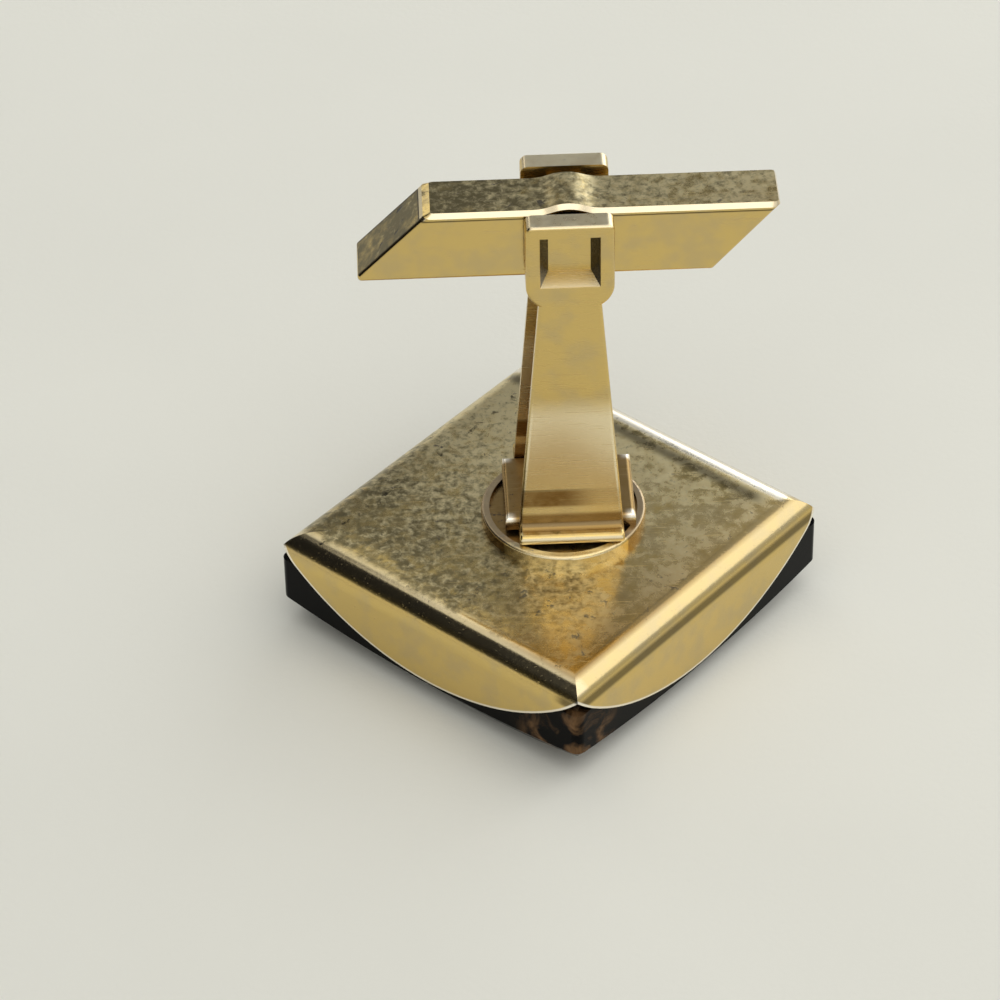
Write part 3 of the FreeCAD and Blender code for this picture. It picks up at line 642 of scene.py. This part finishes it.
def cement_material(name, finish):
    """Grainy setting cement."""
    material, tree, shader = new_material(name)
    grains = noise(tree, object_place(tree), scale=5000.0, detail=5.0, roughness=0.7)
    shade = blend_colours(tree, grains, scaled(0.6, finish.cement), finish.cement)
    tree.links.new(shade, shader.inputs["Base Color"])
    rough = stretch(tree, grains, low=0.2, high=0.8, to_low=0.7, to_high=0.95)
    tree.links.new(rough, shader.inputs["Roughness"])
    add_bump(tree, shader, grains, strength=0.5, distance=0.00005)
    return material


def spring_material(name, finish):
    """Rolled spring steel with lines along the strip."""
    material, tree, shader = new_material(name)
    drawn = add(tree, "ShaderNodeMapping", {"Vector": object_place(tree), "Scale": SPRING_DRAWING})
    lines = noise(tree, drawn.outputs["Vector"], scale=1.0, detail=3.0)
    shade = blend_colours(tree, lines, scaled(0.55, finish.steel), finish.steel)
    tree.links.new(shade, shader.inputs["Base Color"])
    rough = stretch(tree, lines, low=0.2, high=0.8, to_low=0.24, to_high=0.42)
    tree.links.new(rough, shader.inputs["Roughness"])
    shader.inputs["Metallic"].default_value = 1.0
    add_bump(tree, shader, lines, strength=0.2, distance=0.00002)
    return material


def dress(material, *names):
    """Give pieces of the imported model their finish."""
    for name in names:
        slots = NODES[name].material_slots
        if not slots:
            raise RuntimeError(name + " has no material slot")
        for slot in slots:
            slot.material = material


class CUFFLINK_OT_setting(bpy.types.Operator):
    """Finish the folded back"""
    bl_idname = "cufflink.setting"
    bl_label = "Setting"

    def execute(self, context):
        gilt = context.scene.cufflink_gilt
        relief = {"hills": 1.0, "peel": 0.25, "crown": 9.0}
        film = {"cover": -0.2, "facing_up": gilt.back_cover, "rim": 0.88, "paleness": 0.0,
                "polish": gilt.polish}
        dress(gilt_material("worn_gilt_back", gilt, film, relief, fold_marks), "setting_tray")
        return {"FINISHED"}


class CUFFLINK_OT_stone(bpy.types.Operator):
    """Finish the stone and its bed of cement"""
    bl_idname = "cufflink.stone"
    bl_label = "Stone"

    def execute(self, context):
        stone = context.scene.cufflink_stone
        dress(stone_material("polished_stone", stone), "stone")
        dress(cement_material("setting_cement", stone), "stone_cement")
        return {"FINISHED"}


class CUFFLINK_OT_post(bpy.types.Operator):
    """Finish the base, the block and the two legs"""
    bl_idname = "cufflink.post"
    bl_label = "Post"

    def execute(self, context):
        gilt = context.scene.cufflink_gilt
        relief = {"hills": 0.6, "peel": 0.06}
        film = {"cover": -0.2, "facing_up": gilt.post_cover, "rim": 0.88, "paleness": 0.1,
                "polish": gilt.satin}
        dress(gilt_material("gilt_post", gilt, film, relief, post_marks),
              "base_cup", "leg_spacer", "front_leg", "rear_leg")
        return {"FINISHED"}


class CUFFLINK_OT_bar(bpy.types.Operator):
    """Finish the bar, its lid and its spring"""
    bl_idname = "cufflink.bar"
    bl_label = "Bar"

    def execute(self, context):
        gilt = context.scene.cufflink_gilt
        relief = {"hills": 0.7, "peel": 0.2, "crown": 9.0}
        film = {"cover": -0.2, "facing_up": gilt.bar_cover, "rim": 0.55, "paleness": -0.12,
                "polish": gilt.polish}
        dress(gilt_material("gilt_bar", gilt, film, relief, bar_marks), "toggle_box")
        film = {"cover": -0.1, "facing_up": gilt.bar_cover, "rim": 0.88, "paleness": -0.1,
                "polish": gilt.polish}
        dress(gilt_material("gilt_lid", gilt, film, relief, lid_marks), "toggle_lid")
        dress(spring_material("spring_steel", context.scene.cufflink_stone), "leaf_spring")
        return {"FINISHED"}


def paper_material(name, look):
    """Plain paper: a faint cloudiness and a fine tooth."""
    material, tree, shader = new_material(name)
    place = object_place(tree)
    clouds = noise(tree, place, scale=45.0, detail=3.0)
    shade = blend_colours(tree, clouds, scaled(0.94, look.paper), look.paper)
    tree.links.new(shade, shader.inputs["Base Color"])
    shader.inputs["Roughness"].default_value = 0.9
    shader.inputs["Specular IOR Level"].default_value = 0.15
    tooth = noise(tree, place, scale=3000.0, detail=4.0)
    add_bump(tree, shader, tooth, strength=0.15, distance=0.0001)
    return material


def make_floor(look):
    """A wide sheet of paper just under the stone."""
    turns = ((-1, -1), (1, -1), (1, 1), (-1, 1))
    corners = [(x * FLOOR_REACH, y * FLOOR_REACH, FLOOR_DROP) for x, y in turns]
    mesh = bpy.data.meshes.new("paper_floor")
    mesh.from_pydata(corners, [], [(0, 1, 2, 3)])
    mesh.materials.append(paper_material("paper", look))
    floor = bpy.data.objects.new("paper_floor", mesh)
    bpy.context.scene.collection.objects.link(floor)


def make_softbox(name, watts, tint, direction, distance, width, height):
    """An area light that faces the middle of the object."""
    light = bpy.data.lights.new(name, "AREA")
    light.shape = "RECTANGLE"
    light.size = width
    light.size_y = height
    light.energy = watts
    light.color = tint
    lamp = bpy.data.objects.new(name, light)
    towards = Vector(direction).normalized()
    place = Vector((0.0, 0.0, TRAY_TOP)) + towards * distance
    lamp.matrix_world = Matrix.LocRotScale(place, towards.to_track_quat("Z", "Y"), None)
    bpy.context.scene.collection.objects.link(lamp)


def make_lamps(look):
    """A large soft light above, a soft one at the right and a low window behind."""
    make_softbox("overhead", look.overhead, (1.0, 0.99, 0.96), direction=(0.05, -0.1, 1.0),
                 distance=0.5, width=0.6, height=0.7)
    make_softbox("side_light", look.side, (1.0, 0.98, 0.96), direction=(0.724, 0.102, 0.682),
                 distance=0.45, width=0.42, height=0.34)
    make_softbox("window", look.window, (0.97, 1.0, 1.0), direction=(0.585, 0.749, 0.309),
                 distance=0.45, width=0.38, height=0.24)


def shade_parts(tree, towards, seen, parts):
    """Colour of the room with round parts of other shades blended in, each about its own direction."""
    for direction, begins, full, shade in parts:
        nearness = dot(tree, towards, Vector(direction).normalized())
        seen = blend_colours(tree, rise(tree, nearness, none=begins, full=full), seen, shade)
    return seen


def make_room(look):
    """World: a grey room with dark and pale parts and a pale low backdrop, for camera and metal alike."""
    world = bpy.data.worlds.new("studio_room")
    bpy.context.scene.world = world
    world.use_nodes = True
    tree = world.node_tree
    towards = add(tree, "ShaderNodeTexCoord").outputs["Generated"]
    direction = split(tree, towards)
    rightward = rise(tree, direction["X"], none=-0.35, full=0.5)
    shades = [scaled(strength, look.walls) for strength in (LEFT_WALL_STRENGTH, RIGHT_WALL_STRENGTH)]
    walls = shade_parts(tree, towards, blend_colours(tree, rightward, *shades), ROOM_PARTS)
    low = fade(tree, direction["Z"], full=0.13, gone=0.19)
    seen = shade_parts(tree, towards, blend_colours(tree, low, walls, look.backdrop), PANE_PARTS)
    tree.links.new(seen, tree.nodes["Background"].inputs["Color"])


def make_camera(look):
    """Camera at the photograph's angle, aimed by azimuth, elevation and roll."""
    data = bpy.data.cameras.new("photo_camera")
    data.lens = look.lens
    data.sensor_width = 36.0
    data.clip_start = 0.005
    data.clip_end = 20.0
    camera = bpy.data.objects.new("photo_camera", data)
    level = math.cos(look.elevation)
    back = Vector((math.sin(look.azimuth) * level, -math.cos(look.azimuth) * level, math.sin(look.elevation)))
    right = Vector((math.cos(look.azimuth), math.sin(look.azimuth), 0.0))
    turn = Matrix((right, back.cross(right), back)).transposed().to_4x4()
    place = Matrix.Translation(Vector(look.aim) + back * look.distance)
    camera.matrix_world = place @ turn @ Matrix.Rotation(look.roll, 4, "Z")
    bpy.context.scene.collection.objects.link(camera)
    bpy.context.scene.camera = camera


class CUFFLINK_OT_stage(bpy.types.Operator):
    """Set out the paper, the lights and the camera"""
    bl_idname = "cufflink.stage"
    bl_label = "Stage"

    def execute(self, context):
        look = context.scene.cufflink_stage
        make_floor(look)
        make_room(look)
        make_lamps(look)
        make_camera(look)
        context.scene.view_settings.view_transform = "Standard"
        return {"FINISHED"}


class CUFFLINK_PT_panel(bpy.types.Panel):
    """Lists the finishes and the steps that apply them"""
    bl_label = "Cufflink"
    bl_idname = "CUFFLINK_PT_panel"
    bl_space_type = "VIEW_3D"
    bl_region_type = "UI"
    bl_category = "Cufflink"

    def draw(self, context):
        scene = context.scene
        for group in (scene.cufflink_gilt, scene.cufflink_stone, scene.cufflink_stage):
            box = self.layout.box()
            for name in group.__annotations__:
                box.prop(group, name)
        for operator in OPERATORS:
            self.layout.operator(operator.bl_idname)


OPERATORS = (CUFFLINK_OT_setting, CUFFLINK_OT_stone, CUFFLINK_OT_post, CUFFLINK_OT_bar, CUFFLINK_OT_stage)
CLASSES = (GiltFinish, StoneFinish, StageLook, *OPERATORS, CUFFLINK_PT_panel)


def register():
    """Add the classes, and their settings on the scene."""
    for entry in CLASSES:
        bpy.utils.register_class(entry)
    bpy.types.Scene.cufflink_gilt = PointerProperty(type=GiltFinish)
    bpy.types.Scene.cufflink_stone = PointerProperty(type=StoneFinish)
    bpy.types.Scene.cufflink_stage = PointerProperty(type=StageLook)


def unregister():
    """Take the settings and the classes away again."""
    del bpy.types.Scene.cufflink_stage
    del bpy.types.Scene.cufflink_stone
    del bpy.types.Scene.cufflink_gilt
    for entry in reversed(CLASSES):
        bpy.utils.unregister_class(entry)


def main():
    """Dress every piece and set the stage."""
    register()
    bpy.ops.cufflink.setting()
    bpy.ops.cufflink.stone()
    bpy.ops.cufflink.post()
    bpy.ops.cufflink.bar()
    bpy.ops.cufflink.stage()


if __name__ == "__main__":
    main()
